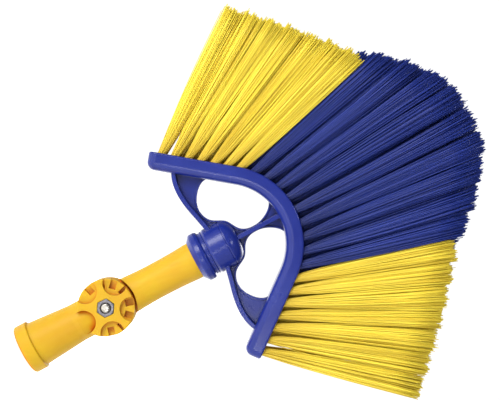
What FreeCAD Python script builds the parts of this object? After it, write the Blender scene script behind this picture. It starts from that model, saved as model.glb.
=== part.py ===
# Adjustable ceiling brush head: a fan of bristle tufts on a moulded frame, carried by a two-piece
# elbow whose lower arm takes a broom pole. Millimetres. The origin is the centre of the pole
# socket's mouth. +Z runs up the socket towards the bristles, +X across the fan, and -Y is the
# front, where the captive nut is. The elbow is straight and its clamp is eased, so that its face
# teeth just clear their slots.
import FreeCAD
import Part

import math
import os

from FreeCAD import Vector

# --- pole socket and lower arm ---------------------------------------------------------------
RIM_R = 15.9
RIM_TOP_Z = 8.4
RIM_FILLET = 1.5
SOCKET_TUBE_R = 14.45
KNUCKLE_R = 12.15
TAPER_END_Z = 37.0
POLE_BORE_R = 11.1
POLE_BORE_DEPTH = 34.0
POLE_THREAD_R = 11.75
POLE_THREAD_START_Z = 9.0
POLE_THREAD_TURNS = 4
THREAD_PITCH = 5.0

# --- elbow -----------------------------------------------------------------------------------
ELBOW_Z = 59.2
DISC_R = 18.0
DISC_CLEAR_R = 19.5
DISC_OUTER_Y = 14.0
EASED_GAP = 1.5
DISC_EDGE_FILLET = 0.6
STAR_ARMS = 5
SCALLOP_R = 7.6
SCALLOP_PITCH_R = 16.4
SCALLOP_DEPTH = 3.0
SCALLOP_ON_TUBE_DEG = 174.0
SLOT_COUNT = 12
SLOT_FIRST_DEG = 15.0
SLOT_INNER_R = 12.3
SLOT_W = 4.2
SLOT_DEPTH = 3.2
TUBE_SIDE_HALF_DEG = 50.0
TOOTH_SOCKET_DEPTH = 2.2
TOOTH_INNER_R = 12.8
TOOTH_OUTER_R = 17.5
TOOTH_W = 3.6
TOOTH_H = 1.2

# --- upper arm and its threaded spigot -------------------------------------------------------
WAIST_R = 11.05
ARM_ENDS_R = 11.85
SPIGOT_ENTRY_Z = 125.0
SPIGOT_CORE_R = 10.6
SPIGOT_CREST_R = 11.4
SPIGOT_END_Z = 147.0
SPIGOT_HOLLOW_R = 7.5
SPIGOT_HOLLOW_Z = 92.0
SPIGOT_TURNS = 3
THREAD_CLEARANCE = 0.15

# --- clamp hardware, M6 ----------------------------------------------------------------------
BOLT_R = 3.0
RUNNING_FIT = 0.05
BOLT_TIP_Y = -15.2
BOLT_HEAD_H = 4.0
HEX_ACROSS_FLATS = 10.0
HEX_FIT = 0.5
HEX_CORNER_DEG = 2.0
NUT_H = 5.0
NUT_FACE_Y = -14.4
WASHER_R = 9.0
WASHER_HOLE_R = 3.2
WASHER_T = 1.6
KNOB_HUB_R = 7.6
KNOB_HUB_H = 9.4
WING_SPAN_R = 16.4
WING_T = 4.0
WING_RISE = 5.0

# --- brush frame -----------------------------------------------------------------------------
HUB_MOUTH_Z = 122.0
HUB_BEAD_R = 16.0
HUB_BEAD_TOP_Z = 129.6
HUB_GROOVE_R = 14.1
HUB_BODY_Z = 134.2
HUB_BODY_R = 14.9
HUB_SEAM_Z = 145.0
HUB_SHOULDER_R = 12.4
HUB_SHOULDER_Z = 149.9
HUB_CROWN_R = 7.0
HUB_TOP_Z = 153.2
HUB_ENTRY_R = 11.95
HUB_FLOOR_Z = 149.0
BAR_ARC_R = 49.3
BAR_ARC_Z = 143.6
BAR_ARC_HALF_DEG = 52.0
BAR_LEG = 57.2
BAR_T = 11.2
BAR_DEPTH = 24.0
BAR_INNER_FILLET = 5.0
BAR_OUTER_FILLET = 1.2
BAR_END_CORNER_R = 5.0
RIB_W = 2.8
RIB_DEPTH = 15.0
WEB_T = 3.0
WEB_BEAD_W = 1.2
WEB_BEAD_T = 4.2

# --- tufts -----------------------------------------------------------------------------------
STATIONS = 23
STATION_PITCH = 8.4
PITCH_LINE_DEPTH = 3.2
FIRST_TUFT = 8.0
LAST_LEFT_YELLOW = 7
LAST_BLUE = 16
ROW_PITCH = 7.0
ROW_TILT_DEG = 3.5
FAN_DEG = 37.5
LEAN_DEG = 3.0
HOLE_R = 2.5
HOLE_DEPTH = 7.5
TUFT_ROOT_R = 2.45
TUFT_COLLAR = 2.0
TUFT_FLARE = 0.038
YELLOW_LENGTH = 100.5
BLUE_LENGTH = 124.5
BLUE_CENTRE = 11.75
BLUE_FLAT = 1.35
BLUE_FALL = 6.4
ANCHOR_L = 4.7
ANCHOR_H = 1.8
ANCHOR_T = 0.4

HALF_GAP = EASED_GAP / 2
BOLT_HOLE_R = BOLT_R + RUNNING_FIT
SEAT_Y = DISC_OUTER_Y + WASHER_T
UP = Vector(0, 0, 1)
ACROSS = Vector(0, 1, 0)


# --- shape helpers ---------------------------------------------------------------------------
def closed_wire(steps):
    """Closed wire in the XZ plane. A step is a point, or a pair (through, end) for an arc."""
    def at(p):
        return Vector(p[0], 0, p[1])

    first = at(steps[0])
    here = first
    edges = []
    for step in steps[1:] + [steps[0]]:
        if isinstance(step[0], tuple):
            end = at(step[1])
            edges.append(Part.Arc(here, at(step[0]), end).toShape())
        else:
            end = at(step)
            edges.append(Part.LineSegment(here, end).toShape())
        here = end
    return Part.Wire(edges)


def revolved(steps):
    """Solid of revolution about Z of a closed (radius, height) outline."""
    return Part.Face(closed_wire(steps)).revolve(Vector(0, 0, 0), UP, 360)


def plate(wire, y_low, y_high):
    """Flat solid: an XZ wire carried from y_low to y_high."""
    face = Part.Face(wire)
    face.translate(Vector(0, y_low, 0))
    return face.extrude(Vector(0, y_high - y_low, 0))


def round_y(radius, y_low, y_high, x=0.0, z=ELBOW_Z):
    """Cylinder along Y."""
    return Part.makeCylinder(radius, y_high - y_low, Vector(x, y_low, z), ACROSS)


def polar(radius, degrees):
    """(x, z) offset at an angle measured from +Z towards +X."""
    turn = math.radians(degrees)
    return radius * math.sin(turn), radius * math.cos(turn)


def hex_prism(across_flats, y_low, y_high):
    """Hexagonal prism along the elbow's axis."""
    corner_r = across_flats / math.sqrt(3)
    corners = []
    for k in range(6):
        dx, dz = polar(corner_r, HEX_CORNER_DEG + 60 * k)
        corners.append((dx, ELBOW_Z + dz))
    return plate(closed_wire(corners), y_low, y_high)


def spoke_box(inner_r, outer_r, width, y_low, y_high, degrees):
    """Rectangular bar that points away from the elbow's axis at an angle from +Z."""
    box = Part.makeBox(width, y_high - y_low, outer_r - inner_r,
                       Vector(-width / 2, y_low, ELBOW_Z + inner_r))
    box.rotate(Vector(0, 0, ELBOW_Z), ACROSS, degrees)
    return box


def thread_rings(core_r, crest_r, first_z, turns):
    """(radius, height) points of a coarse thread drawn as separate rings, going up."""
    points = []
    for k in range(turns):
        z = first_z + k * THREAD_PITCH
        points += [(core_r, z), (crest_r, z + 0.9), (crest_r, z + 1.7), (core_r, z + 2.6)]
    return points


def circle_edges(solid, radius, z):
    """The solid's circular edges about Z with this radius at this height."""
    found = []
    for edge in solid.Edges:
        if isinstance(edge.Curve, Part.Circle) and abs(edge.Curve.Radius - radius) < 0.01:
            if abs(edge.Curve.Center.z - z) < 0.01 and abs(edge.Curve.Axis.z) > 0.99:
                found.append(edge)
    return found


# --- lower arm -------------------------------------------------------------------------------
def slot_angles():
    """Angles of the twelve click positions, from +Z towards +X."""
    return [SLOT_FIRST_DEG + k * 360 / SLOT_COUNT for k in range(SLOT_COUNT)]


def scallop_angles():
    """Angles of the five scallops between the star's arms. The first lies over the tube."""
    return [SCALLOP_ON_TUBE_DEG - k * 360 / STAR_ARMS for k in range(STAR_ARMS)]


def pole_bore():
    """The blind bore for the pole, with its thread drawn as rings."""
    steps = [(0, -1), (POLE_BORE_R, -1)]
    steps += thread_rings(POLE_BORE_R, POLE_THREAD_R, POLE_THREAD_START_Z, POLE_THREAD_TURNS)
    steps += [(POLE_BORE_R, POLE_BORE_DEPTH), (0, POLE_BORE_DEPTH)]
    return revolved(steps)


def scallop_over_tube(dx, dz):
    """The scallop next to the tube: its floor is the tube's own crown, sinking towards the star."""
    prism = round_y(SCALLOP_R, -30, 0, dx, ELBOW_Z + dz)
    crown = revolved([(0, 20), (12.9, 20), (KNUCKLE_R + 0.3, 34), ((11.7, 43), (9.6, 52)), (0, 52)])
    return prism.cut(crown)


def lower_arm():
    """Tapered pole socket that ends in the elbow's front disc, with its star and slots."""
    tube = revolved([(0, 0), (RIM_R, 0), (RIM_R, RIM_TOP_Z), (SOCKET_TUBE_R, RIM_TOP_Z + 0.5),
                     (KNUCKLE_R, TAPER_END_Z), (KNUCKLE_R, ELBOW_Z), (0, ELBOW_Z)])
    tube = tube.makeFillet(RIM_FILLET, circle_edges(tube, RIM_R, 0))
    tube = tube.makeFillet(0.5, circle_edges(tube, RIM_R, RIM_TOP_Z))
    disc = round_y(DISC_R, -DISC_OUTER_Y, -HALF_GAP)
    disc = disc.makeFillet(DISC_EDGE_FILLET, [edge_at_y(disc, DISC_R, -DISC_OUTER_Y)])
    arm = tube.cut(round_y(DISC_CLEAR_R, -HALF_GAP, 30)).fuse(disc)
    arm = arm.cut(pole_bore())

    shelf_y = -DISC_OUTER_Y + SCALLOP_DEPTH
    tube_side, *open_scallops = [polar(SCALLOP_PITCH_R, a) for a in scallop_angles()]
    cuts = [scallop_over_tube(*tube_side)]
    for dx, dz in open_scallops:
        cuts.append(round_y(SCALLOP_R, -30, shelf_y, dx, ELBOW_Z + dz))
    for angle in slot_angles():
        over_tube = abs(angle - 180) < TUBE_SIDE_HALF_DEG
        outer_r = DISC_R + 0.5 if over_tube else DISC_R + 2
        socket_y = -HALF_GAP - TOOTH_SOCKET_DEPTH
        cuts.append(spoke_box(SLOT_INNER_R, outer_r, SLOT_W, socket_y, 0, angle))
        if not over_tube:
            cuts.append(spoke_box(SLOT_INNER_R, outer_r, SLOT_W, shelf_y - 0.1,
                                  shelf_y + SLOT_DEPTH, angle))
    cuts.append(hex_prism(HEX_ACROSS_FLATS + HEX_FIT, -20, NUT_FACE_Y + NUT_H))
    cuts.append(round_y(BOLT_HOLE_R, -20, 20))
    return arm.cut(cuts).removeSplitter()


def edge_at_y(solid, radius, y):
    """The circular edge about the elbow's axis with this radius, at this Y."""
    for edge in solid.Edges:
        if isinstance(edge.Curve, Part.Circle) and abs(edge.Curve.Radius - radius) < 0.01:
            if abs(edge.Curve.Center.y - y) < 0.01:
                return edge
    raise ValueError("no such edge")


# --- upper arm -------------------------------------------------------------------------------
def upper_arm():
    """Waisted tube: the elbow's rear disc with its teeth below, the threaded spigot above."""
    profile = [(0, ELBOW_Z), (ARM_ENDS_R, ELBOW_Z), (ARM_ENDS_R, 75),
               ((WAIST_R, 93), (ARM_ENDS_R, 119)), (ARM_ENDS_R, SPIGOT_ENTRY_Z)]
    profile += [(SPIGOT_CORE_R, SPIGOT_ENTRY_Z)]
    profile += thread_rings(SPIGOT_CORE_R, SPIGOT_CREST_R, SPIGOT_ENTRY_Z + 3, SPIGOT_TURNS)
    profile += [(SPIGOT_CORE_R, SPIGOT_END_Z), (0, SPIGOT_END_Z)]
    tube = revolved(profile).cut(round_y(DISC_CLEAR_R, -30, HALF_GAP))
    hollow = Part.makeCylinder(SPIGOT_HOLLOW_R, SPIGOT_END_Z, Vector(0, 0, SPIGOT_HOLLOW_Z), UP)
    disc = round_y(DISC_R, HALF_GAP, DISC_OUTER_Y)
    disc = disc.makeFillet(DISC_EDGE_FILLET, [edge_at_y(disc, DISC_R, DISC_OUTER_Y)])
    teeth = [spoke_box(TOOTH_INNER_R, TOOTH_OUTER_R, TOOTH_W, HALF_GAP - TOOTH_H, HALF_GAP + 1, a)
             for a in slot_angles()]
    arm = disc.fuse([tube.cut(hollow)] + teeth)
    return arm.cut(round_y(BOLT_HOLE_R, -20, 20)).removeSplitter()


# --- clamp hardware --------------------------------------------------------------------------
def chamfered_hex(y_low, y_high, both_faces):
    """Hexagon whose corners are turned off at 30 degrees, on its high face or on both."""
    corner_r = HEX_ACROSS_FLATS / math.sqrt(3)
    flat_r = HEX_ACROSS_FLATS / 2
    reach = corner_r + 1
    fall = (reach - flat_r) * math.tan(math.radians(30))
    low_face = [(flat_r, y_low), (reach, y_low + fall)] if both_faces else [(reach, y_low)]
    turned = revolved([(0, y_low)] + low_face
                      + [(reach, y_high - fall), (flat_r, y_high), (0, y_high)])
    turned.rotate(Vector(0, 0, 0), Vector(1, 0, 0), -90)
    turned.translate(Vector(0, 0, ELBOW_Z))
    return hex_prism(HEX_ACROSS_FLATS, y_low, y_high).common(turned)


def clamp_nut():
    """Captive M6 nut in the star's hexagonal pocket."""
    nut = chamfered_hex(NUT_FACE_Y, NUT_FACE_Y + NUT_H, True)
    countersink = Part.makeCone(BOLT_HOLE_R + 0.6, BOLT_HOLE_R, 0.6,
                                Vector(0, NUT_FACE_Y, ELBOW_Z), ACROSS)
    return nut.cut([round_y(BOLT_HOLE_R, -20, 0), countersink])


def clamp_bolt():
    """M6 bolt with its head held in the wing knob and a domed tip in the nut."""
    head_y = SEAT_Y + KNOB_HUB_H - BOLT_HEAD_H
    shank = round_y(BOLT_R, BOLT_TIP_Y, head_y)
    shank = shank.makeFillet(1.4, [edge_at_y(shank, BOLT_R, BOLT_TIP_Y)])
    return shank.fuse(chamfered_hex(head_y, head_y + BOLT_HEAD_H, False)).removeSplitter()


def clamp_washer():
    """Plain steel washer under the wing knob."""
    ring = round_y(WASHER_R, DISC_OUTER_Y, SEAT_Y)
    return ring.cut(round_y(WASHER_HOLE_R, 0, 30))


def wing_knob():
    """Moulded knob with two wings, around the bolt's head."""
    back_y = SEAT_Y + KNOB_HUB_H
    hub = round_y(KNOB_HUB_R, SEAT_Y, back_y)
    hub = hub.makeFillet(1.0, [edge_at_y(hub, KNOB_HUB_R, back_y)])
    top_y = back_y + WING_RISE
    wings = []
    for side in (-1, 1):
        x_out = side * WING_SPAN_R
        outline = [(side * 4, SEAT_Y + 0.8), (x_out - side * 3, SEAT_Y + 2.2),
                   (x_out, SEAT_Y + 5), (x_out, top_y - 3),
                   (x_out - side * 3, top_y), (x_out - side * 6, top_y - 1),
                   (side * 6, back_y - 1.5), (side * 4, back_y - 1.5)]
        corners = [Vector(x, y, ELBOW_Z - WING_T / 2) for x, y in outline]
        wing = Part.Face(Part.makePolygon(corners + corners[:1])).extrude(Vector(0, 0, WING_T))
        wings.append(wing)
    knob = hub.fuse(wings).removeSplitter()
    head_y = back_y - BOLT_HEAD_H
    pocket = hex_prism(HEX_ACROSS_FLATS + 0.04, head_y, back_y + 10)
    return knob.cut([pocket, round_y(BOLT_R + 0.02, SEAT_Y - 1, back_y)]).removeSplitter()


# --- brush frame -----------------------------------------------------------------------------
def bar_point(along, inward=0.0):
    """(x, z) on the bar, some way in from its outer outline.

    The length along the bar counts from its left end, on the line where the tufts are pitched.
    """
    half_turn = math.radians(BAR_ARC_HALF_DEG)
    pitch_r = BAR_ARC_R - PITCH_LINE_DEPTH
    arc_length = 2 * half_turn * pitch_r
    r = BAR_ARC_R - inward
    if along < BAR_LEG or along > BAR_LEG + arc_length:
        side = -1 if along < BAR_LEG else 1
        run = BAR_LEG - along if side < 0 else along - BAR_LEG - arc_length
        x = side * (r * math.sin(half_turn) + run * math.cos(half_turn))
        return x, BAR_ARC_Z + r * math.cos(half_turn) - run * math.sin(half_turn)
    dx, dz = polar(r, math.degrees((along - BAR_LEG) / pitch_r) - BAR_ARC_HALF_DEG)
    return dx, BAR_ARC_Z + dz


BAR_LENGTH = 2 * BAR_LEG + 2 * math.radians(BAR_ARC_HALF_DEG) * (BAR_ARC_R - PITCH_LINE_DEPTH)


def depth_in_bar(point):
    """How far inside the bar's outer outline a point lies, measured square to it."""
    half_turn = math.radians(BAR_ARC_HALF_DEG)
    dx, dz = point.x, point.z - BAR_ARC_Z
    if abs(math.atan2(dx, dz)) < half_turn and dz > 0:
        return BAR_ARC_R - math.hypot(dx, dz)
    return BAR_ARC_R - (abs(dx) * math.sin(half_turn) + dz * math.cos(half_turn))


def face_edges(solid, depth_low, depth_high):
    """The bar's edges in its front and back faces that lie between two depths."""
    found = []
    for edge in solid.Edges:
        middle = edge.valueAt((edge.FirstParameter + edge.LastParameter) / 2)
        on_face = abs(abs(middle.y) - BAR_DEPTH / 2) < 0.01
        if on_face and depth_low < depth_in_bar(middle) < depth_high:
            found.append(edge)
    return found


def bar():
    """The bent bar that holds the tufts: an arc between two straight legs."""
    middle = BAR_LENGTH / 2
    r = BAR_END_CORNER_R
    nearer = r * (1 - math.sqrt(0.5))
    second_leg = BAR_LENGTH - BAR_LEG
    wire = closed_wire([
        bar_point(0), bar_point(BAR_LEG), (bar_point(middle), bar_point(second_leg)),
        bar_point(BAR_LENGTH), bar_point(BAR_LENGTH, BAR_T - r),
        (bar_point(BAR_LENGTH - nearer, BAR_T - nearer), bar_point(BAR_LENGTH - r, BAR_T)),
        bar_point(second_leg, BAR_T), (bar_point(middle, BAR_T), bar_point(BAR_LEG, BAR_T)),
        bar_point(r, BAR_T), (bar_point(nearer, BAR_T - nearer), bar_point(0, BAR_T - r)),
    ])
    solid = plate(wire, -BAR_DEPTH / 2, BAR_DEPTH / 2)
    solid = solid.makeFillet(BAR_INNER_FILLET, face_edges(solid, BAR_T - 2, BAR_T + 1))
    return solid.makeFillet(BAR_OUTER_FILLET, face_edges(solid, -0.1, 0.1))


def hub():
    """Threaded hub: beaded mouth, groove, ribbed body, a seam line and a domed top."""
    z, r = HUB_BODY_Z, HUB_BODY_R
    return revolved([
        (0, HUB_MOUTH_Z), (HUB_BEAD_R - 3.4, HUB_MOUTH_Z), (HUB_BEAD_R - 0.2, HUB_MOUTH_Z + 2.6),
        (HUB_BEAD_R, HUB_MOUTH_Z + 3.4), (HUB_BEAD_R, HUB_BEAD_TOP_Z - 1.6),
        (HUB_BEAD_R - 0.6, HUB_BEAD_TOP_Z), (HUB_GROOVE_R, HUB_BEAD_TOP_Z + 0.8),
        (HUB_GROOVE_R, z - 2.4), (HUB_GROOVE_R + 0.4, z - 2.2), (HUB_GROOVE_R + 0.4, z - 1.6),
        (HUB_GROOVE_R, z - 1.4), (r, z), (r, HUB_SEAM_Z - 0.5), (r - 0.25, HUB_SEAM_Z - 0.3),
        (r - 0.25, HUB_SEAM_Z + 0.3), (r, HUB_SEAM_Z + 0.5),
        ((HUB_SHOULDER_R, HUB_SHOULDER_Z), (HUB_CROWN_R, HUB_TOP_Z - 0.5)), (0, HUB_TOP_Z)])


def hub_bore():
    """The hub's inside: an entry land, then grooves that clear the spigot's thread rings."""
    c = THREAD_CLEARANCE
    rings = thread_rings(SPIGOT_CORE_R + c, SPIGOT_CREST_R + c, SPIGOT_ENTRY_Z + 3, SPIGOT_TURNS)
    return revolved([(0, HUB_MOUTH_Z - 1), (HUB_ENTRY_R, HUB_MOUTH_Z - 1),
                     (HUB_ENTRY_R, SPIGOT_ENTRY_Z), (SPIGOT_CORE_R + c, SPIGOT_ENTRY_Z)]
                    + rings + [(SPIGOT_CORE_R + c, HUB_FLOOR_Z), (0, HUB_FLOOR_Z)])


def smooth_edge(points, closed=False):
    """Smooth curve through XZ points."""
    curve = Part.BSplineCurve()
    curve.interpolate([Vector(x, 0, z) for x, z in points], PeriodicFlag=closed)
    return curve.toShape()


SPOKE_OUTLINE = [(12.0, 136.8), (27.0, 133.6), (38.0, 131.7), (46.0, 131.8), (57.0, 135.4)]
WINDOW_OUTLINE = [(1.9, 166.0), (4.6, 174.4), (10.6, 180.2), (22.0, 178.6), (34.0, 164.6),
                  (41.9, 150.4), (34.6, 141.4), (25.6, 138.9), (18.0, 142.2), (12.6, 150.8),
                  (5.4, 155.4), (2.3, 160.4)]


def mirrored(points):
    """The same points on the other side of X = 0."""
    return [(-x, z) for x, z in points]


def grown(points, amount):
    """A clockwise outline's points, moved out square to the line between their neighbours."""
    moved = []
    for k, (x, z) in enumerate(points):
        (x0, z0), (x1, z1) = points[k - 1], points[(k + 1) % len(points)]
        size = math.hypot(x1 - x0, z1 - z0)
        moved.append((x - amount * (z1 - z0) / size, z + amount * (x1 - x0) / size))
    return moved


def side_spoke(outline):
    """Deep rib from the hub to the bar: a strip one rib width high along a smooth curve."""
    low = smooth_edge(outline)
    high = smooth_edge([(x, z + RIB_W) for x, z in outline])
    (x0, z0), (x1, z1) = outline[0], outline[-1]
    first = Part.makeLine(Vector(x0, 0, z0), Vector(x0, 0, z0 + RIB_W))
    last = Part.makeLine(Vector(x1, 0, z1), Vector(x1, 0, z1 + RIB_W))
    return plate(Part.Wire(Part.__sortEdges__([low, last, high, first])),
                 -RIB_DEPTH / 2, RIB_DEPTH / 2)


def web():
    """Thin plate from mid-spoke to mid-bar, with a beaded window each side of the centre rib."""
    inside = BAR_T / 2
    middle = BAR_LENGTH / 2
    spoke_side = [(x, z + RIB_W / 2) for x, z in SPOKE_OUTLINE]
    border = closed_wire(
        spoke_side + [bar_point(BAR_LENGTH - 18, inside), bar_point(BAR_LENGTH - BAR_LEG, inside),
                      (bar_point(middle, inside), bar_point(BAR_LEG, inside)),
                      bar_point(18, inside)] + mirrored(spoke_side[::-1]))
    sheet = plate(border, -WEB_T / 2, WEB_T / 2)
    bead = grown(WINDOW_OUTLINE, WEB_BEAD_W)
    beads = [plate(Part.Wire([smooth_edge(outline, True)]), -WEB_BEAD_T / 2, WEB_BEAD_T / 2)
             for outline in (bead, mirrored(bead))]
    windows = [plate(Part.Wire([smooth_edge(outline, True)]), -5, 5)
               for outline in (WINDOW_OUTLINE, mirrored(WINDOW_OUTLINE))]
    return sheet.fuse(beads).cut(windows)


# --- tufts -----------------------------------------------------------------------------------
def fan_direction(station):
    """Angle from +Z of the tuft at a station, which may lie half way between two."""
    centre = (STATIONS + 1) / 2
    share = (station - centre) / (centre - 1)
    return FAN_DEG * share + LEAN_DEG * share ** 2


def tuft_frame(station, row):
    """(root on the bar's face, unit direction) of a tuft. row is -1 front, 0 middle, 1 back."""
    x, z = bar_point(FIRST_TUFT + (station - 1) * STATION_PITCH)
    turn = math.radians(fan_direction(station))
    tilt = math.radians(ROW_TILT_DEG * row)
    direction = Vector(math.sin(turn) * math.cos(tilt), math.sin(tilt),
                       math.cos(turn) * math.cos(tilt))
    return Vector(x, row * ROW_PITCH, z), direction


def laid_along(solid, root, direction):
    """A solid modelled about Z, laid along a direction with its origin at root."""
    solid.Placement = FreeCAD.Placement(root, FreeCAD.Rotation(UP, direction))
    return solid


def is_blue(station):
    """Blue tufts fill the middle of the fan, yellow ones its two sides."""
    return LAST_LEFT_YELLOW < station < LAST_BLUE + 1


def tuft_length(station):
    """Yellow tufts are one length. Blue ones stand taller, to a flat top with straight flanks."""
    if not is_blue(station):
        return YELLOW_LENGTH
    return BLUE_LENGTH - BLUE_FALL * max(0, abs(station - BLUE_CENTRE) - BLUE_FLAT)


def tuft(station, row):
    """One tuft as a plain closed solid: a round root in its hole, then a slow flare."""
    length = tuft_length(station)
    tip_r = TUFT_ROOT_R + TUFT_FLARE * (length - TUFT_COLLAR)
    base_z = ANCHOR_H - HOLE_DEPTH
    solid = revolved([(0, base_z), (TUFT_ROOT_R, base_z), (TUFT_ROOT_R, TUFT_COLLAR),
                      (tip_r, length), (0, length)])
    return laid_along(solid, *tuft_frame(station, row))


def hole(station, row):
    """Blind hole for a tuft, run on past the bar's face."""
    root, direction = tuft_frame(station, row)
    bore = Part.makeCylinder(HOLE_R, HOLE_DEPTH + 6, Vector(0, 0, -HOLE_DEPTH), UP)
    return laid_along(bore, root, direction)


def anchor(station, row):
    """Flat metal staple at the bottom of a tuft's hole."""
    root, direction = tuft_frame(station, row)
    strip = Part.makeBox(ANCHOR_L, ANCHOR_T, ANCHOR_H,
                         Vector(-ANCHOR_L / 2, -ANCHOR_T / 2, -HOLE_DEPTH))
    return laid_along(strip, root, direction)


def rows():
    """Row name to (row number, its stations). The middle row stands between the outer two's."""
    full = list(range(1, STATIONS + 1))
    between = [k + 0.5 for k in range(2, STATIONS - 1)]
    return {"front": (-1, full), "middle": (0, between), "back": (1, full)}


def brush_frame():
    """The one-piece moulding: hub, spokes, web, centre rib and the drilled bar."""
    centre_rib = Part.makeBox(RIB_W, RIB_DEPTH, BAR_ARC_Z + BAR_ARC_R - 6 - HUB_TOP_Z + 3,
                              Vector(-RIB_W / 2, -RIB_DEPTH / 2, HUB_TOP_Z - 3))
    solid = bar().fuse([hub(), web(), centre_rib, side_spoke(SPOKE_OUTLINE),
                        side_spoke(mirrored(SPOKE_OUTLINE))])
    holes = [hole(station, row) for row, stations in rows().values() for station in stations]
    return solid.cut(hub_bore()).removeSplitter().cut(holes)


# --- the nodes -------------------------------------------------------------------------------
def tuft_nodes():
    """Front and back tufts are nodes of their own; the hidden middle row is three groups."""
    nodes = {}
    for name, (row, stations) in rows().items():
        nodes["anchors_" + name] = Part.Compound([anchor(s, row) for s in stations])
        solids = {s: tuft(s, row) for s in stations}
        if row:
            for s, solid in solids.items():
                nodes[f"tuft_{name}_{s:02d}"] = solid
            continue
        centre = (STATIONS + 1) / 2
        groups = {
            "tufts_middle_left": [t for s, t in solids.items() if s < centre and not is_blue(s)],
            "tufts_middle_blue": [t for s, t in solids.items() if is_blue(s)],
            "tufts_middle_right": [t for s, t in solids.items() if s > centre and not is_blue(s)],
        }
        nodes.update({group: Part.Compound(items) for group, items in groups.items()})
    return nodes


def main():
    """Build every node and write one STEP file for each."""
    nodes = {
        "socket_arm": lower_arm(),
        "spigot_arm": upper_arm(),
        "clamp_nut": clamp_nut(),
        "clamp_bolt": clamp_bolt(),
        "clamp_washer": clamp_washer(),
        "wing_knob": wing_knob(),
        "brush_frame": brush_frame(),
    }
    nodes.update(tuft_nodes())
    os.makedirs("parts", exist_ok=True)
    for name, shape in nodes.items():
        solids = shape.Solids
        volume = sum(solid.Volume for solid in solids)
        if not shape.isValid():
            raise ValueError(f"{name} is not a valid shape")
        print(f"{name}: {len(solids)} solid(s), {volume:.0f} mm3")
        shape.exportStep(f"parts/{name}.step")


main()
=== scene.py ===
import logging
import math
from dataclasses import dataclass, field
from enum import Enum
from typing import Any, Optional

import bpy
import numpy as np
from mathutils import Matrix


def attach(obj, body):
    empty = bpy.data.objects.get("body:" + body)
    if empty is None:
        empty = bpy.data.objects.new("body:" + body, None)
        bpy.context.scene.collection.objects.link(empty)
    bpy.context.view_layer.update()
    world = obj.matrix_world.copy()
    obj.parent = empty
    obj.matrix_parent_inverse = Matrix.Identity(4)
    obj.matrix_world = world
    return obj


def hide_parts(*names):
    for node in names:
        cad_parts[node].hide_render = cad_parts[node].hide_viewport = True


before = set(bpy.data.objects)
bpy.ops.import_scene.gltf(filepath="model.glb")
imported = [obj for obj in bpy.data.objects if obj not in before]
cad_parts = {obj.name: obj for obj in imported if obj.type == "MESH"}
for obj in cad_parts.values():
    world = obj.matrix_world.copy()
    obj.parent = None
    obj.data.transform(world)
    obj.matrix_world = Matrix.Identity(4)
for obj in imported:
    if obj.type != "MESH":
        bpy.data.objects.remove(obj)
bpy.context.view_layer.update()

MM = 0.001
LOG = logging.getLogger("brush_head")


class Row(Enum):
    """The three rows of tufts, numbered from the nut's side of the bar."""

    FRONT = -1
    MIDDLE = 0
    BACK = 1


class Dye(Enum):
    """The two filament colours."""

    YELLOW = "yellow"
    BLUE = "blue"


# --- colour and node helpers -----------------------------------------------------------------
def linear(hex_colour: str) -> tuple[float, float, float, float]:
    """Turn an sRGB hex colour into the linear RGBA that sockets take.

    Args:
        hex_colour: Six hex digits after a hash.

    Returns:
        Linear red, green, blue and an alpha of 1.
    """
    parts = [int(hex_colour[i:i + 2], 16) / 255 for i in (1, 3, 5)]
    curve = [p / 12.92 if p <= 0.04045 else ((p + 0.055) / 1.055) ** 2.4 for p in parts]
    return (curve[0], curve[1], curve[2], 1.0)


def add_node(tree: bpy.types.NodeTree, kind: str, settings: Optional[dict[str, Any]] = None,
             values: Optional[dict[Any, Any]] = None,
             links: Optional[dict[Any, Any]] = None) -> bpy.types.Node:
    """Add one node with its settings, its own socket values and its incoming links.

    Args:
        tree: The node tree to add to.
        kind: The node's type name.
        settings: Attribute name to value.
        values: Input socket, by name or index, to a fixed value.
        links: Input socket, by name or index, to the output socket that feeds it.

    Returns:
        The new node.
    """
    node = tree.nodes.new(kind)
    for name, value in (settings or {}).items():
        setattr(node, name, value)
    for socket, value in (values or {}).items():
        node.inputs[socket].default_value = value
    for socket, source in (links or {}).items():
        tree.links.new(source, node.inputs[socket])
    return node


def two_colour_ramp(tree: bpy.types.NodeTree, low: str, high: str, start: float, end: float,
                    fac: bpy.types.NodeSocket) -> bpy.types.NodeSocket:
    """Blend two colours over a stretch of a driving value.

    Args:
        tree: The node tree to add to.
        low: Hex colour at and before start.
        high: Hex colour at and after end.
        start: Value where the blend begins.
        end: Value where it ends.
        fac: The driving socket.

    Returns:
        The colour output.
    """
    ramp = add_node(tree, "ShaderNodeValToRGB", links={"Fac": fac})
    stops = ramp.color_ramp.elements
    stops[0].position, stops[0].color = start, linear(low)
    stops[1].position, stops[1].color = end, linear(high)
    return ramp.outputs["Color"]


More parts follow.
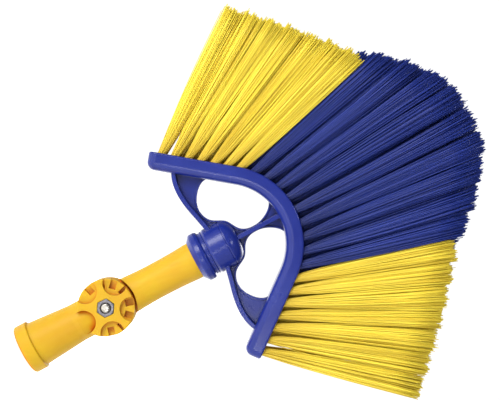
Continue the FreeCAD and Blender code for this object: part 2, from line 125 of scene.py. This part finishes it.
# --- finishes --------------------------------------------------------------------------------
@dataclass(frozen=True)
class MouldedPolypropylene:
    """Injection-moulded polypropylene: an even waxy body colour with painted shade in the corners,
    a faint orange-peel skin, a little light under the surface, and edges rounded by the mould."""

    name: str
    body: str
    deep: str
    # Colour of the painted shade that the occlusion mask mixes into corners and slots.
    corner_shade: str
    roughness: float
    subsurface: float
    scatter_mm: tuple[float, float, float]
    specular_level: float
    grain_mm: float = 1.1
    flow_mm: float = 26.0
    corner_shade_mm: float = 4.5
    full_shade_below: float = 0.2
    no_shade_above: float = 0.8
    edge_mm: float = 0.5
    bump_mm: float = 0.012
    bump_strength: float = 0.3
    ior: float = 1.49

    def build(self) -> bpy.types.Material:
        """Make the material.

        Returns:
            The finished material.
        """
        made = bpy.data.materials.new(self.name)
        made.use_nodes = True
        tree = made.node_tree
        shader = tree.nodes["Principled BSDF"]
        place = add_node(tree, "ShaderNodeTexCoord").outputs["Object"]
        flow = add_node(tree, "ShaderNodeTexNoise", links={"Vector": place},
                        values={"Scale": 1 / (self.flow_mm * MM), "Detail": 3.0})
        even = two_colour_ramp(tree, self.deep, self.body, 0.30, 0.62, flow.outputs["Fac"])
        # Painted shade: where ambient occlusion finds the surface hemmed in, the corner colour is
        # mixed over the body colour.
        opening = add_node(tree, "ShaderNodeAmbientOcclusion", {"samples": 8},
                           {"Distance": self.corner_shade_mm * MM})
        painted_shade_mask = add_node(tree, "ShaderNodeMapRange",
                        values={"From Min": self.full_shade_below, "From Max": self.no_shade_above,
                                "To Min": 1.0, "To Max": 0.0},
                        links={"Value": opening.outputs["AO"]})
        colour = add_node(tree, "ShaderNodeMix", {"data_type": "RGBA"},
                          values={"B": linear(self.corner_shade)},
                          links={0: painted_shade_mask.outputs["Result"], "A": even})
        tree.links.new(colour.outputs["Result"], shader.inputs["Base Color"])
        grain = add_node(tree, "ShaderNodeTexNoise", links={"Vector": place},
                         values={"Scale": 1 / (self.grain_mm * MM), "Detail": 2.0})
        rounded = add_node(tree, "ShaderNodeBevel", {"samples": 8},
                           {"Radius": self.edge_mm * MM})
        skin = add_node(tree, "ShaderNodeBump",
                        values={"Strength": self.bump_strength,
                                "Distance": self.bump_mm * MM},
                        links={"Height": grain.outputs["Fac"],
                               "Normal": rounded.outputs["Normal"]})
        tree.links.new(skin.outputs["Normal"], shader.inputs["Normal"])
        gloss = add_node(tree, "ShaderNodeMapRange",
                         values={"From Min": 0.3, "From Max": 0.7,
                                 "To Min": self.roughness - 0.03,
                                 "To Max": self.roughness + 0.05},
                         links={"Value": flow.outputs["Fac"]})
        tree.links.new(gloss.outputs["Result"], shader.inputs["Roughness"])
        shader.inputs["IOR"].default_value = self.ior
        shader.inputs["Specular IOR Level"].default_value = self.specular_level
        shader.inputs["Subsurface Weight"].default_value = self.subsurface
        shader.inputs["Subsurface Radius"].default_value = self.scatter_mm
        shader.inputs["Subsurface Scale"].default_value = MM
        return made


@dataclass(frozen=True)
class DrawnFilament:
    """Extruded polyester filament: saturated, slightly glossy strands whose dye varies a little
    from strand to strand, with painted shade that darkens them towards the roots."""

    name: str
    bright: str
    dark: str
    # Colour of the painted shade near the roots, where the strands crowd at the bar.
    root: str
    root_shade_share: float = 0.35
    root_shade_depth: float = 0.55
    roughness: float = 0.38
    streak_mm: float = 1.1
    ior: float = 1.57
    specular_level: float = 0.25

    def build(self) -> bpy.types.Material:
        """Make the material. It reads the strand and along attributes that each tuft carries.

        Returns:
            The finished material.
        """
        made = bpy.data.materials.new(self.name)
        made.use_nodes = True
        tree = made.node_tree
        shader = tree.nodes["Principled BSDF"]
        strand = add_node(tree, "ShaderNodeAttribute", {"attribute_name": "strand"})
        along = add_node(tree, "ShaderNodeAttribute", {"attribute_name": "along"})
        dyed = two_colour_ramp(tree, self.dark, self.bright, 0.0, 0.85, strand.outputs["Fac"])
        # Painted shade: the colour darkens towards the root colour over the first stretch of each
        # strand.
        root_shade_mask = add_node(tree, "ShaderNodeMapRange",
                          values={"From Min": 0.02, "From Max": self.root_shade_share,
                                  "To Min": self.root_shade_depth, "To Max": 0.0},
                          links={"Value": along.outputs["Fac"]})
        mixed = add_node(tree, "ShaderNodeMix", {"data_type": "RGBA"},
                         values={"B": linear(self.root)},
                         links={0: root_shade_mask.outputs["Result"], "A": dyed})
        tree.links.new(mixed.outputs["Result"], shader.inputs["Base Color"])
        place = add_node(tree, "ShaderNodeTexCoord").outputs["Object"]
        streak = add_node(tree, "ShaderNodeTexNoise", links={"Vector": place},
                          values={"Scale": 1 / (self.streak_mm * MM), "Detail": 2.0})
        gloss = add_node(tree, "ShaderNodeMapRange",
                         values={"To Min": self.roughness - 0.08, "To Max": self.roughness + 0.1},
                         links={"Value": streak.outputs["Fac"]})
        tree.links.new(gloss.outputs["Result"], shader.inputs["Roughness"])
        shader.inputs["IOR"].default_value = self.ior
        shader.inputs["Specular IOR Level"].default_value = self.specular_level
        return made


@dataclass(frozen=True)
class ZincPlate:
    """Bright zinc-plated steel: fine turning marks and a slightly uneven sheen."""

    name: str
    colour: str
    dull: str
    roughness: float = 0.26
    mark_mm: float = 0.35
    edge_mm: float = 0.25
    bump_mm: float = 0.02
    bump_strength: float = 0.2

    def build(self) -> bpy.types.Material:
        """Make the material.

        Returns:
            The finished material.
        """
        made = bpy.data.materials.new(self.name)
        made.use_nodes = True
        tree = made.node_tree
        shader = tree.nodes["Principled BSDF"]
        place = add_node(tree, "ShaderNodeTexCoord").outputs["Object"]
        cloud = add_node(tree, "ShaderNodeTexNoise", links={"Vector": place},
                         values={"Scale": 1 / (6 * self.mark_mm * MM), "Detail": 5.0})
        marks = add_node(tree, "ShaderNodeTexNoise", links={"Vector": place},
                         values={"Scale": 1 / (self.mark_mm * MM), "Detail": 3.0})
        colour = two_colour_ramp(tree, self.dull, self.colour, 0.35, 0.6, cloud.outputs["Fac"])
        tree.links.new(colour, shader.inputs["Base Color"])
        gloss = add_node(tree, "ShaderNodeMapRange",
                         values={"To Min": self.roughness - 0.08, "To Max": self.roughness + 0.14},
                         links={"Value": cloud.outputs["Fac"]})
        tree.links.new(gloss.outputs["Result"], shader.inputs["Roughness"])
        rounded = add_node(tree, "ShaderNodeBevel", {"samples": 6}, {"Radius": self.edge_mm * MM})
        skin = add_node(tree, "ShaderNodeBump",
                        values={"Strength": self.bump_strength, "Distance": self.bump_mm * MM},
                        links={"Height": marks.outputs["Fac"],
                               "Normal": rounded.outputs["Normal"]})
        tree.links.new(skin.outputs["Normal"], shader.inputs["Normal"])
        shader.inputs["Metallic"].default_value = 1.0
        return made


# --- CAD nodes -------------------------------------------------------------------------------
def dress(node: str, material: bpy.types.Material) -> None:
    """Give a CAD node its finish.

    Args:
        node: The node's name.
        material: The material that replaces its own.
    """
    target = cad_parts[node]
    target.data.materials.clear()
    target.data.materials.append(material)
    LOG.info("%s wears %s", node, material.name)


# --- bristles --------------------------------------------------------------------------------
@dataclass
class BristleFan:
    """The rows of tufts that stand in the frame's bent bar, made of separate filaments.

    Lengths are millimetres. The bar's outline is an arc between two straight legs, and a tuft
    stands every station_pitch along it.
    """

    yellow: bpy.types.Material
    blue: bpy.types.Material
    stations: int = 23
    station_pitch: float = 8.4
    pitch_line_depth: float = 3.2
    first_tuft: float = 8.0
    last_left_yellow: int = 7
    last_blue: int = 16
    row_pitch: float = 7.0
    row_tilt_deg: float = 3.5
    fan_deg: float = 37.5
    lean_deg: float = 3.0
    arc_r: float = 49.3
    arc_z: float = 143.6
    arc_half_deg: float = 52.0
    leg: float = 57.2
    hole_r: float = 2.3
    sunk: float = 5.5
    yellow_length: float = 101.0
    blue_length: float = 124.8
    blue_centre: float = 11.75
    blue_flat: float = 1.35
    blue_fall: float = 6.4
    half_across: float = 7.0
    half_deep: float = 5.2
    opening_power: float = 0.72
    tip_pitch: float = 14.7
    scatter: float = 0.45
    most_scatter: float = 1.1
    stray_share: float = 0.03
    stray_reach: float = 1.25
    curl: float = 0.35
    trim: float = 0.9
    coarse_wave: tuple[float, float] = (0.7, 5.3)
    fine_wave: tuple[float, float] = (0.6, 1.9)
    length_scatter: float = 0.7
    short_share: float = 0.07
    short_by: tuple[float, float] = (2, 9)
    strands: int = 210
    strand_r: float = 0.29
    thickness_scatter: float = 0.08
    tip_taper: float = 0.8
    segments: int = 6
    sides: int = 4
    seed: int = 712
    rng: np.random.Generator = field(init=False)

    def __post_init__(self) -> None:
        """Seed the random draws, so that every run gives the same strands."""
        self.rng = np.random.default_rng(self.seed)

    def bar_point(self, along: float) -> tuple[float, float]:
        """Point on the bar's outer outline: the leg's straight line, or the arc's circle.

        Args:
            along: Length from the bar's left end, on the line where the tufts are pitched.

        Returns:
            X and Z.
        """
        half = math.radians(self.arc_half_deg)
        pitch_r = self.arc_r - self.pitch_line_depth
        arc = 2 * half * pitch_r
        if self.leg <= along <= self.leg + arc:
            turn = (along - self.leg) / pitch_r - half
            return self.arc_r * math.sin(turn), self.arc_z + self.arc_r * math.cos(turn)
        side = -1 if along < self.leg else 1
        run = self.leg - along if side < 0 else along - self.leg - arc
        x = side * (self.arc_r * math.sin(half) + run * math.cos(half))
        return x, self.arc_z + self.arc_r * math.cos(half) - run * math.sin(half)

    def axis(self, station: float, row: Row) -> tuple[np.ndarray, np.ndarray]:
        """Where a tuft leaves the bar and which way it points.

        The angle from +Z is the fan angle times the share of the way to the end station, plus
        the lean times that share squared.

        Args:
            station: Station number; halves stand between two stations.
            row: The tuft's row.

        Returns:
            Root point and unit direction.
        """
        centre = (self.stations + 1) / 2
        x, z = self.bar_point(self.first_tuft + (station - 1) * self.station_pitch)
        share = (station - centre) / (centre - 1)
        turn = math.radians(self.fan_deg * share + self.lean_deg * share ** 2)
        tilt = math.radians(self.row_tilt_deg * row.value)
        root = np.array([x, row.value * self.row_pitch, z])
        way = np.array([math.sin(turn) * math.cos(tilt), math.sin(tilt),
                        math.cos(turn) * math.cos(tilt)])
        return root, way

    def dye(self, station: float) -> Dye:
        """The colour of a station's tufts: blue in the middle of the fan, yellow outside it."""
        inside = self.last_left_yellow < station < self.last_blue + 1
        return Dye.BLUE if inside else Dye.YELLOW

    def lengths(self, station: float, across: np.ndarray) -> np.ndarray:
        """Length of each strand, as the shears left it.

        Yellow strands are one length. Blue ones follow a flat top with straight flanks, which
        depends on where in the fan the strand's tip is. Both waver by two sine waves across the
        tuft and by a scatter of their own, and a few were missed or cut short.

        Args:
            station: The tuft's station.
            across: The tips' places across the tuft.

        Returns:
            One length for each strand.
        """
        count = len(across)
        if self.dye(station) is Dye.BLUE:
            local = station + across / self.tip_pitch
            fall = np.maximum(0.0, np.abs(local - self.blue_centre) - self.blue_flat)
            length = self.blue_length - self.blue_fall * fall
        else:
            length = np.full(count, self.yellow_length)
        phase = self.rng.uniform(0, 2 * math.pi, 2)
        for (height, wavelength), offset in zip((self.coarse_wave, self.fine_wave), phase):
            length += height * np.sin(across * 2 * math.pi / wavelength + offset)
        length += self.rng.normal(0, self.length_scatter, count) - self.trim
        short = self.rng.uniform(0, 1, count) < self.short_share
        return length - short * self.rng.uniform(*self.short_by, count)

    def centrelines(self, station: float, row: Row) -> np.ndarray:
        """The strands' centrelines in one tuft.

        A strand starts at a point of the hole's disc and ends at the matching point of a larger
        ellipse, with some scatter. On the way it opens out by a power of its share of the
        length, so the tuft bells out near the bar. It adds a half sine wave of its own and one
        that the whole tuft shares.

        Args:
            station: Station number.
            row: The tuft's row.

        Returns:
            Points, shaped strands by segments + 2 by 3.
        """
        root, way = self.axis(station, row)
        across = np.cross([0.0, 1.0, 0.0], way)
        across /= np.linalg.norm(across)
        deep = np.cross(way, across)
        count = self.strands
        turn = self.rng.uniform(0, 2 * math.pi, count)
        out = np.sqrt(self.rng.uniform(0, 1, count))
        disc = np.stack([out * np.cos(turn), out * np.sin(turn)], 1)
        start = disc * self.hole_r
        end = disc * [self.half_across, self.half_deep]
        moved = self.rng.normal(0, self.scatter, (count, 2))
        end += np.clip(moved, -self.most_scatter, self.most_scatter)
        stray = self.rng.uniform(0, 1, count) < self.stray_share
        end[stray, 0] *= self.stray_reach
        length = self.lengths(station, end[:, 0])
        share = np.linspace(0, 1, self.segments + 1)
        opened = share ** self.opening_power
        wave = np.sin(math.pi * share)
        own = self.rng.normal(0, self.curl, (count, 2))
        shared = self.rng.normal(0, self.curl, 2)
        flat = start[:, None] + (end - start)[:, None] * opened[None, :, None]
        flat += wave[None, :, None] * (own + shared)[:, None]
        basis = np.stack([across, deep])
        line = root + flat @ basis + way * (length[:, None] * share)[..., None]
        below = root + start @ basis - way * self.sunk
        return np.concatenate([below[:, None], line], 1)

    def tuft_mesh(self, tufts: list[tuple[float, Row]]) -> bpy.types.Mesh:
        """Thin square prisms along every strand of some tufts.

        Each ring is a point of the centreline plus the strand's radius times the cosine and
        sine of the corner's angle along two directions square to the strand.

        Args:
            tufts: Station and row of each tuft.

        Returns:
            A mesh of closed prisms, with a strand and an along attribute on its points.
        """
        lines = np.concatenate([self.centrelines(s, r) for s, r in tufts])
        count, rings = lines.shape[:2]
        along = np.gradient(lines, axis=1)
        along /= np.linalg.norm(along, axis=2)[..., None]
        side = np.cross(along, [0.0, 1.0, 0.0])
        side /= np.linalg.norm(side, axis=2)[..., None]
        other = np.cross(side, along)
        phase = self.rng.uniform(0, math.pi, count)[:, None]
        angle = phase + np.arange(self.sides) * 2 * math.pi / self.sides
        thick = self.rng.normal(1, self.thickness_scatter, count)[:, None] * np.ones(rings)
        thick *= self.strand_r
        thick[:, -1] *= self.tip_taper
        ring = (np.cos(angle)[:, None, :, None] * side[:, :, None]
                + np.sin(angle)[:, None, :, None] * other[:, :, None])
        points = lines[:, :, None] + thick[..., None, None] * ring
        base = np.arange(count * rings * self.sides).reshape(count, rings, self.sides)
        turned = np.roll(base, -1, axis=2)
        walls = np.stack([base[:, :-1], turned[:, :-1], turned[:, 1:], base[:, 1:]], -1)
        caps = np.concatenate([base[:, 0, ::-1], base[:, -1]])
        faces = np.concatenate([walls.reshape(-1, 4), caps])
        mesh = bpy.data.meshes.new("tuft")
        mesh.from_pydata(points.reshape(-1, 3) * MM, [], faces)
        mesh.polygons.foreach_set("use_smooth", np.ones(len(faces), bool))
        shade = np.repeat(self.rng.uniform(0, 1, count), rings * self.sides)
        share = np.concatenate([[0.0], np.linspace(0, 1, rings - 1)])
        run = np.tile(np.repeat(share, self.sides), count)
        for name, data in (("strand", shade), ("along", run)):
            layer = mesh.attributes.new(name, "FLOAT", "POINT")
            layer.data.foreach_set("value", data.astype(np.float32))
        return mesh

    def piece(self, name: str, tufts: list[tuple[float, Row]], node: str) -> None:
        """Make one bristle piece and stand it in for its CAD node.

        Args:
            name: The piece's name.
            tufts: Station and row of each of its tufts.
            node: The plain CAD tuft that it replaces.
        """
        dye = self.dye(tufts[0][0])
        mesh = self.tuft_mesh(tufts)
        mesh.materials.append(self.blue if dye is Dye.BLUE else self.yellow)
        made = bpy.data.objects.new(name, mesh)
        bpy.context.scene.collection.objects.link(made)
        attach(made, "head")
        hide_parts(node)
        LOG.info("%s: %d strands", name, self.strands * len(tufts))

    def build(self) -> None:
        """Make the two outer rows tuft by tuft, and the middle row as its three groups."""
        for row in (Row.FRONT, Row.BACK):
            label = row.name.lower()
            for station in range(1, self.stations + 1):
                self.piece(f"bristles_{label}_{station:02d}", [(station, row)],
                           f"tuft_{label}_{station:02d}")
        between = [k + 0.5 for k in range(2, self.stations - 1)]
        middle = (self.stations + 1) / 2
        groups = {
            "left": [s for s in between if s < middle and self.dye(s) is Dye.YELLOW],
            "blue": [s for s in between if self.dye(s) is Dye.BLUE],
            "right": [s for s in between if s > middle and self.dye(s) is Dye.YELLOW],
        }
        for label, stations in groups.items():
            self.piece(f"bristles_middle_{label}", [(s, Row.MIDDLE) for s in stations],
                       f"tufts_middle_{label}")


# --- studio ----------------------------------------------------------------------------------
@dataclass
class Studio:
    """Camera, pale floor and soft light. Places are metres in the row frame."""

    eye: tuple[float, float, float] = (-0.0173, -0.880, 0.1704)
    right: tuple[float, float, float] = (0.469, 0.0, 0.883)
    up: tuple[float, float, float] = (-0.883, 0.0, 0.469)
    lens: float = 100.0
    aim: tuple[float, float, float] = (0.0, 0.0, 0.16)
    floor_size: float = 6.0
    floor_z: float = -0.001
    floor_glow: float = 0.95
    room_light: float = 0.28
    room_seen: float = 1.05

    def camera(self) -> None:
        """A long lens that looks square at the fan, rolled as the head was laid."""
        data = bpy.data.cameras.new("camera")
        data.lens = self.lens
        data.sensor_width = 36.0
        data.clip_start, data.clip_end = 0.05, 20.0
        made = bpy.data.objects.new("camera", data)
        back = np.cross(self.right, self.up)
        turned = Matrix([self.right, self.up, tuple(back)]).transposed().to_4x4()
        made.matrix_world = Matrix.Translation(self.eye) @ turned
        bpy.context.scene.collection.objects.link(made)
        bpy.context.scene.camera = made

    def floor(self) -> None:
        """A pale matt sheet just under the socket's mouth."""
        half = self.floor_size / 2
        mesh = bpy.data.meshes.new("floor")
        corners = [(-half, -half), (half, -half), (half, half), (-half, half)]
        mesh.from_pydata([(x, y, self.floor_z) for x, y in corners], [], [(0, 1, 2, 3)])
        paint = bpy.data.materials.new("floor_paper")
        paint.use_nodes = True
        shader = paint.node_tree.nodes["Principled BSDF"]
        shader.inputs["Base Color"].default_value = linear("#fbfbfb")
        shader.inputs["Roughness"].default_value = 0.9
        shader.inputs["Emission Color"].default_value = linear("#ffffff")
        shader.inputs["Emission Strength"].default_value = self.floor_glow
        mesh.materials.append(paint)
        sheet = bpy.data.objects.new("floor", mesh)
        bpy.context.scene.collection.objects.link(sheet)

    def lamp(self, name: str, place: tuple[float, float, float], size: float,
             watts: float) -> None:
        """A square soft box that faces the middle of the head.

        Args:
            name: The lamp's name.
            place: Its centre.
            size: Its side.
            watts: Its power.
        """
        data = bpy.data.lights.new(name, "AREA")
        data.size = size
        data.energy = watts
        made = bpy.data.objects.new(name, data)
        away = np.array(place) - np.array(self.aim)
        back = away / np.linalg.norm(away)
        side = np.cross([0.0, 0.0, 1.0], back)
        side /= np.linalg.norm(side)
        turn = Matrix([tuple(side), tuple(np.cross(back, side)), tuple(back)]).transposed()
        made.matrix_world = Matrix.Translation(place) @ turn.to_4x4()
        bpy.context.scene.collection.objects.link(made)

    def light(self) -> None:
        """White surroundings that light less than they show, a key lamp, two fills and two sparks.

        The sparks are small lamps. Their reflections draw the highlights on the hub's dome and
        along the bar's inner edge.
        """
        world = bpy.data.worlds.new("white_room")
        world.use_nodes = True
        tree = world.node_tree
        glow = tree.nodes["Background"]
        glow.inputs["Color"].default_value = linear("#ffffff")
        seen = add_node(tree, "ShaderNodeLightPath").outputs["Is Camera Ray"]
        level = add_node(tree, "ShaderNodeMapRange",
                         values={"To Min": self.room_light, "To Max": self.room_seen},
                         links={"Value": seen})
        tree.links.new(level.outputs["Result"], glow.inputs["Strength"])
        bpy.context.scene.world = world
        self.lamp("key_lamp", (-0.75, -0.80, 0.25), 0.5, 8.6)
        self.lamp("fill_lamp", (0.8, -0.7, 0.5), 0.7, 0.8)
        self.lamp("back_lamp", (0.2, 0.9, 0.6), 0.6, 6.0)
        self.lamp("top_spark", (0.06, -0.45, 0.85), 0.12, 0.8)
        self.lamp("low_spark", (0.14, -0.68, 0.02), 0.1, 0.7)

    def build(self) -> None:
        """Set the whole stage up."""
        self.camera()
        self.floor()
        self.light()
        bpy.context.scene.view_settings.view_transform = "Standard"


def main() -> None:
    """Build the stage and every sub-assembly in order."""
    logging.basicConfig(level=logging.INFO, format="%(name)s: %(message)s")
    Studio().build()
    # Satin and waxy: a little light sinks in, and painted shade turns the slots and corners
    # orange.
    yellow = MouldedPolypropylene(
        "yellow_polypropylene", body="#cda51f", deep="#c8991f", corner_shade="#c86a15", roughness=0.45,
        subsurface=0.3, scatter_mm=(3.0, 1.4, 0.3), specular_level=0.2).build()
    # Denser pigment and a smoother mould: little light sinks in, edges carry highlights, and
    # painted shade darkens the corners.
    blue = MouldedPolypropylene(
        "blue_polypropylene", body="#19297e", deep="#162474", corner_shade="#10194c", roughness=0.24,
        subsurface=0.08, scatter_mm=(0.6, 0.8, 2.0), specular_level=0.4).build()
    # Light grey metal with soft reflections.
    bright_zinc = ZincPlate("bright_zinc_plate", colour="#bdb9b0", dull="#a3a09a").build()
    # The same plate gone grey: darker and more blurred.
    dull_zinc = ZincPlate("dull_zinc_plate", colour="#7f7d82", dull="#68666b",
                          roughness=0.32).build()
    for node in ("socket_arm", "spigot_arm", "wing_knob"):
        dress(node, yellow)
    dress("brush_frame", blue)
    for node in ("clamp_bolt", "clamp_washer"):
        dress(node, bright_zinc)
    for node in ("clamp_nut", "anchors_front", "anchors_middle", "anchors_back"):
        dress(node, dull_zinc)
    # Fine strands of nearly one colour, with painted shade that makes them browner or near black
    # where they crowd at the bar.
    BristleFan(
        yellow=DrawnFilament("yellow_filament", bright="#f5e04a", dark="#e3c63c",
                             root="#b38a22").build(),
        blue=DrawnFilament("blue_filament", bright="#26388c", dark="#19276c",
                           root="#111a4c").build(),
    ).build()


if __name__ == "__main__":
    main()
